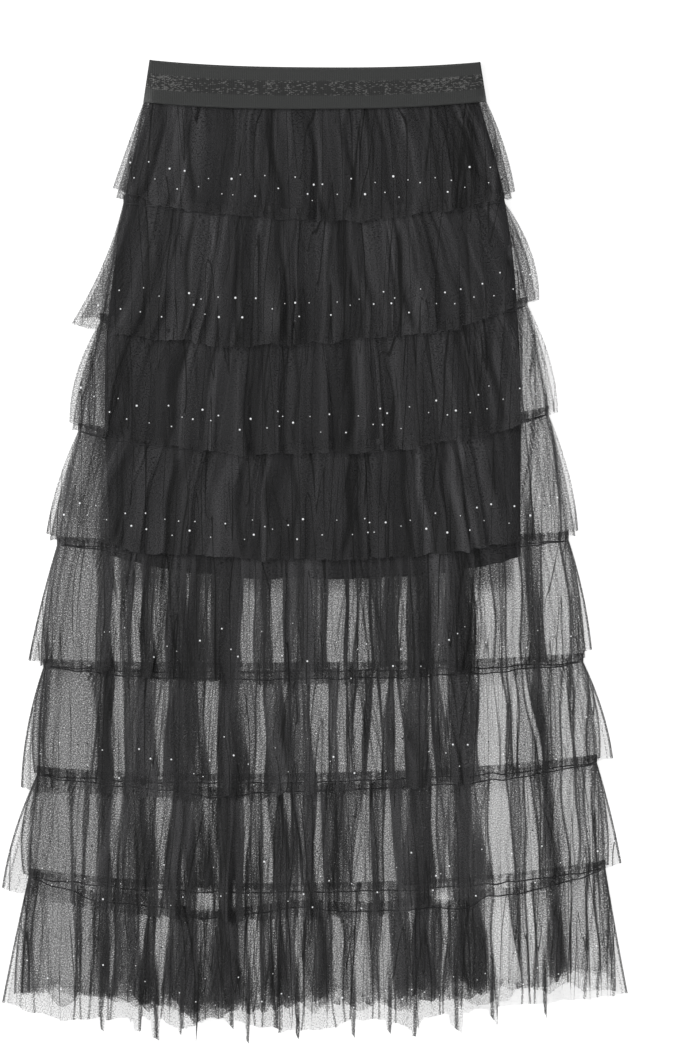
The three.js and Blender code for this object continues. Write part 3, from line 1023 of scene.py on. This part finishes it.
def painted_fold_light(place, v, up, wander, seed):
    """Painted light and shade on the gathered cloth: noise across in three sizes, the finest strongest at
    the seam, raised to a power so that few lit ridges stand out, and painted darker in the header and
    towards the hem."""
    broad = noise(place * 1.7 + wander + 11, seed + 15)
    middle = noise(place * 4.3 + 2 * wander + 5, seed + 17)
    thin = noise(place * 11 + 3 * wander + 7, seed + 18)
    tone = 0.42 * broad + 0.38 * middle + (0.24 - 0.12 * v) * thin
    return 0.30 + 2.1 * tone**1.7 - 0.10 * smooth(0, 0.4, up) - 0.08 * smooth(0.8, 1.0, v)


def tier_cloth(name, x, down, z, uv, bunch, shade, drawn):
    """A tier's sheet through its places across, down and up, with the numbers that the net reads."""
    numbers = {
        "plies": bunch,
        "shade": np.maximum(shade, 0.02),
        "drawn": drawn,
        "backed": 0.8 * over_lining(x, down),
    }
    return put(name, stacked(x, waist_y - down, z), uv=uv, numbers=numbers)


def front_tier(name, tier, number):
    """A front tier: its gathers are cosines across that stand up to 12 mm high, with the power 1.3 of the
    way down, and lean over sideways by a share of their height, so that some overlap the next. Finer
    gathers start at the seam, and the main creases are pressed into it as troughs."""
    share, u, v, up, half = tier_grid(tier, number, True)
    after = tiers[number + 1] if number + 1 < len(tiers) else None
    seed = 200 + 10 * number
    middle_hem = skirt_hem_middle
    if after:
        middle_hem = across(0.0, after.seam_left, after.seam_right, after.dip_front) + hem_overlap
    hem_dip = middle_hem - (tier.corner_left + tier.corner_right) / 2
    waves = tier.gathers
    strayed = share + 0.9 / waves * (noise(share * waves * 0.6 + 40, seed + 20) - 0.5)
    crest = 0.5 - 0.5 * np.cos(2 * np.pi * waves * strayed)
    uneven = 0.72 + 0.28 * np.sin(11 * u + 2 * number)
    edge_in = (1 - np.abs(u)) * half
    fade = np.clip(edge_in / (2 * side_roll), 0, 1)
    vigour = 0.25 + 0.95 * noise(share * waves * 0.8 + 7, seed)
    is_upper = number < lining_tiers
    high = gather_loft * (0.6 if is_upper else 0.85) * uneven * crest * vigour * v**1.3 * fade
    wander = 0.9 * (noise(v * 2.5 + 3, seed + 12) - 0.5)
    fine = 0.0024 * noise(share * waves * 3.1 + wander + 11, seed + 1) * smooth(-0.05, 0.25, v + up) * fade
    finest = 0.0011 * noise(share * waves * 9 + 2 * wander + 5, seed + 2)
    fine += finest * (1 - 0.7 * smooth(0, 0.6, v)) * fade
    fine += header_frill * noise(share * waves * 6 + 5, seed + 10) * smooth(0, 0.5, up) * fade
    trough = placed_creases(u * half, v, number)
    edge_height = layer_step + (layer_step + 0.0001) * v
    flat_height = 5 * layer_step + (2 * layer_step * v if after else 0)
    lift = (high + fine) * (1 if number else smooth(0, 0.12, v))
    z = rolled(u, half, edge_height, flat_height) + lift * (1 - 0.5 * np.minimum(trough, 1)) + 0.0006
    way = noise(share * 5 + 3, seed + 3) - 0.5
    lean = 0.8 * np.sign(way) * smooth(0.02, 0.12, np.abs(way))
    x = u * half - lean * (lift - 0.17 * gather_loft * v**1.3 * fade) * fade
    x = x + 0.0014 * np.sin(2 * np.pi * waves * share) * v**1.3 * fade
    seam = across(u, tier.seam_left, tier.seam_right, tier.dip_front) + sagging(u * half, number)
    seam = seam + 0.004 * (noise(share * 6 + 30, seed + 13) - 0.5) * fade
    tip = (hem_tip if after else skirt_hem_tip * 0.25) * crest * uneven * vigour
    ragged = 0.006 * (noise(share * waves * 2.3 + 17, seed + 4) - 0.5)
    ragged = ragged + 0.0022 * (noise(share * 320, seed + 11) - 0.5)
    ragged = ragged * (0.55 if is_upper else 1.0 if after else 0.5)
    ragged = ragged + (0.004 if after else 0.018) * (noise(share * 17 + 3, seed + 16) - 0.5)
    hem = across(u, tier.corner_left, tier.corner_right, hem_dip) + (tip + ragged) * (0.35 + 0.65 * fade)
    for place, length, reach in hem_tips if not after else []:
        away = u * half - place
        hem = hem + (length + 1.2 * away) * (1 - smooth(1.2 * reach, 1.45 * reach, np.abs(away)))
    top_frill = 0.003 * (noise(share * 170, seed + 14) - 0.5)
    down = seam + (hem - seam) * v - (header + top_frill) * up
    bunch = bunching(x, down, v, up, edge_in, number, seed, 1.0)
    # Painted light and shade: the cloth is painted lighter on its ridges, painted darker in the main
    # creases' troughs and along the single creases, and darker again in the dense belts of deep folds below
    # the lining.
    shade = painted_fold_light(share * waves, v, up, wander, seed) * (1 - 0.85 * np.minimum(trough, 1))
    shade = shade - 0.11 * crease_plies(x, v, float(half.max()), creases_on(number), seed + 6)
    shade = shade * (1 - 0.30 * smooth(0.47, 0.53, down) * smooth(4.0, 9.0, bunch))
    drawn = 9.0 * smooth(0.15, 0.75, noise(share * 40 + 0.6 * v, seed + 19))
    drawn = drawn * (1 - 0.35 * clear(x, v, number)[0]) * (0.4 + 0.6 * below_lining(down))
    if not after:
        drawn = drawn * (1 - 0.8 * smooth(0.86, 0.89, v))
    uv = stacked(1.2 * pinched(x, v, seed) + number, down)
    return tier_cloth(name, x, down, z, uv, bunch, shade, drawn)


def back_tier(name, tier, number):
    """A back tier: the same strip pressed flat on the table by the skirt's own weight, with shallow fine
    gathers and a straight hem just over the next tier's header."""
    share, u, v, up, half = tier_grid(tier, number, False)
    after = tiers[number + 1] if number + 1 < len(tiers) else None
    seed = 400 + 10 * number
    seam = across(u, tier.seam_left, tier.seam_right, tier.dip_back)
    if after:
        beside = np.clip(np.where(u < 0, u * half / after.half_left, u * half / after.half_right), -1, 1)
        hem = across(beside, after.seam_left, after.seam_right, after.dip_back) - header * 0.4
    else:
        hem = across(u, *back_hem) + 0.005 + 0.020 * (noise(u * half * 50 + 60, seed + 6) - 0.5)
    ragged = 0.005 * (noise(share * 90 + 17, seed + 4) - 0.5)
    down = seam + (hem + ragged - seam) * v - header * up
    x = u * half
    edge_in = (1 - np.abs(u)) * half
    z = 0.0009 + 0.0005 * (noise(x * 130 + 300, seed) - 0.5)
    bunch = bunching(x, down, v, up, edge_in, number, seed, 0.7)
    shade = painted_fold_light(share * tier.gathers, v, up, 0.5 * np.sin(3 * v), seed)
    drawn = 6.0 * smooth(0.15, 0.75, noise(share * 40, seed + 19)) * (1 - 0.5 * clear(x, v, number)[0])
    uv = stacked(1.3 * pinched(x, v, seed) + number, down)
    return tier_cloth(name, x, down, z, uv, bunch, shade, drawn)


front_fullness = 1.25
tier_pieces = {}
for number, tier in enumerate(tiers):
    for side, make in (("front", front_tier), ("back", back_tier)):
        piece = make(f"net_tier_{number + 1}_{side}", tier, number)
        piece.data.materials.append(net.material)
        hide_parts(f"tier_{number + 1}_{side}")
        width = (tier.half_left + tier.half_right + tier.hem_left + tier.hem_right) / 2
        width = width * (front_fullness if side == "front" else 1.0)
        tier_pieces[number, side] = piece

# Seam threads
# From the second tier down, each header is held by a line of dark stitching, which shows through the net
# as a thin line across the skirt, once on the front and once on the back.
thread_black = Finish("thread_black")
twist = thread_black.speckle(thread_black.in_piece(), 900.0, 2.0)
thread_black.coat({
    "Base Color": thread_black.tint(twist, (0.012, 0.012, 0.013, 1), (0.03, 0.03, 0.033, 1)),
    "Roughness": 0.7,
})
stitch_length = 0.003
thread_half_width = 0.0007
thread_half_height = 0.0003


def seam_thread(name, tier, number, is_front):
    """A flat-oval line of stitching along a seam: an ellipse carried across the skirt, pinched by a
    cosine at each stitch."""
    around = 6
    u = np.linspace(-0.985, 0.985, 201)[:, None]
    turn = np.linspace(0, 2 * np.pi, around, endpoint=False)[None, :]
    half = np.where(u < 0, tier.half_left, tier.half_right)
    seam = across(u, tier.seam_left, tier.seam_right, tier.dip_front if is_front else tier.dip_back)
    seam = seam + 0.0025 * (noise(u * 24 + 40, 400 + number) - 0.5) + sagging(u * half, number) * is_front
    height = rolled(u, half, 0.0022, 0.0082) if is_front else np.full_like(u, 0.0014)
    pinch = 0.88 + 0.12 * np.cos(2 * np.pi * u * half / stitch_length)
    ring = stacked(
        u * half + 0 * turn,
        waist_y - seam + thread_half_width * pinch * np.cos(turn),
        height + thread_half_height * pinch * np.sin(turn),
    )
    count = ring.shape[0]
    index = np.arange(count * around).reshape(count, around)
    after = np.roll(index, -1, axis=1)
    faces = np.stack([index[:-1], after[:-1], after[1:], index[1:]], axis=-1).reshape(-1, 4).tolist()
    faces += [index[0][::-1].tolist(), index[-1].tolist()]
    made = plain_mesh(name, ring.reshape(-1, 3), faces)
    made.data.polygons.foreach_set("use_smooth", [True] * len(made.data.polygons))
    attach(made, "root")
    made.data.materials.append(thread_black.material)
    return made


for number, tier in enumerate(tiers[1:], start=1):
    for side in ("front", "back"):
        seam_thread(f"seam_thread_{number + 1}_{side}", tier, number, side == "front")

# Stones
# Small silver heat-set stones in a loose double row above each tier's hem. Each is a faceted dome 1 to
# 2 mm across on a dark glued foot, and their spacing is uneven. Their silver also glows a little, a painted
# sparkle.
stone_silver_painted_glow = Finish("stone_silver_painted_glow")
foil = stone_silver_painted_glow.speckle(stone_silver_painted_glow.in_piece(), 400.0, 1.0)
stone_silver_painted_glow.coat({
    "Base Color": stone_silver_painted_glow.tint(foil, (0.62, 0.64, 0.66, 1), (0.95, 0.96, 0.98, 1)),
    "Metallic": 0.3,
    "Roughness": 0.15,
    # Painted sparkle: the silver glows by emission, though the stones are no lamp.
    "Emission Color": (1, 1, 1, 1),
    "Emission Strength": 0.45,
})

stone_radius = 0.00095
stone_height = 0.0008
facets = 8
upper_spacing = 0.0100
lower_spacing = 0.0135
upper_scatter = 0.05
lower_scatter = 0.16
stone_rows = (0.68, 0.80)


def stones_on(name, tier, number, piece, is_front):
    """One mesh of all the stones on a tier: each is a girdle ring, a smaller table ring and a foot,
    turned at random and set on the cloth's own surface at its place."""
    rng = np.random.default_rng(500 + number * 2 + is_front)
    is_upper = number < lining_tiers
    count = int(round((tier.hem_left + tier.hem_right) / (upper_spacing if is_upper else lower_spacing)))
    share = (np.arange(count) + 0.5 + rng.uniform(-0.32, 0.32, count)) / count
    row = np.where(np.arange(count) % 2 == 0, *stone_rows)
    row = row + rng.uniform(-1, 1, count) * (upper_scatter if is_upper else lower_scatter)
    verts = np.empty(len(piece.data.vertices) * 3, dtype=np.float32)
    piece.data.vertices.foreach_get("co", verts)
    rows, columns = front_shape if is_front else back_shape
    grid = verts.reshape(rows, columns, 3)
    v_line = np.linspace(0, 1, rows - header_rows) ** 0.9
    place = grid[header_rows + np.searchsorted(v_line, row) - 1, (share * (columns - 1)).astype(int)]
    corners = np.linspace(0, 2 * np.pi, facets, endpoint=False)[None, :]
    turn = rng.uniform(0, 2 * np.pi, count)[:, None] + corners
    size = stone_radius * (0.55 + 0.65 * rng.random(count) ** 2) * (1.0 if is_upper else 0.85)
    size = size[:, None]
    up = 1.0 if is_front else -1.0
    base_z = place[:, 2:3] + up * 0.0002
    rings = []
    for ring_size, ring_z in ((size, base_z), (size * 0.55, base_z + up * stone_height)):
        ring_x = place[:, 0:1] + ring_size * np.cos(turn)
        ring_y = place[:, 1:2] + ring_size * np.sin(turn)
        rings.append(stacked(ring_x, ring_y, ring_z))
    points = np.concatenate(rings, axis=1).reshape(-1, 3)
    faces = []
    for k in range(count):
        first = k * 2 * facets
        low = [first + i for i in range(facets)]
        high = [first + facets + i for i in range(facets)]
        sides = [(low[i], low[(i + 1) % facets], high[(i + 1) % facets], high[i]) for i in range(facets)]
        caps = [tuple(high), tuple(low[::-1])]
        faces += [f if is_front else f[::-1] for f in sides + caps]
    made = plain_mesh(name, points, faces)
    made.data.materials.append(stone_silver_painted_glow.material)
    made.data.materials.append(thread_black.material)
    feet = np.zeros(len(faces), dtype=np.int32)
    feet[facets + 1 :: facets + 2] = 1
    made.data.polygons.foreach_set("material_index", feet)
    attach(made, "root")
    return made


for number, tier in enumerate(tiers):
    for side in ("front", "back"):
        stones_on(f"stones_{number + 1}_{side}", tier, number, tier_pieces[number, side], side == "front")
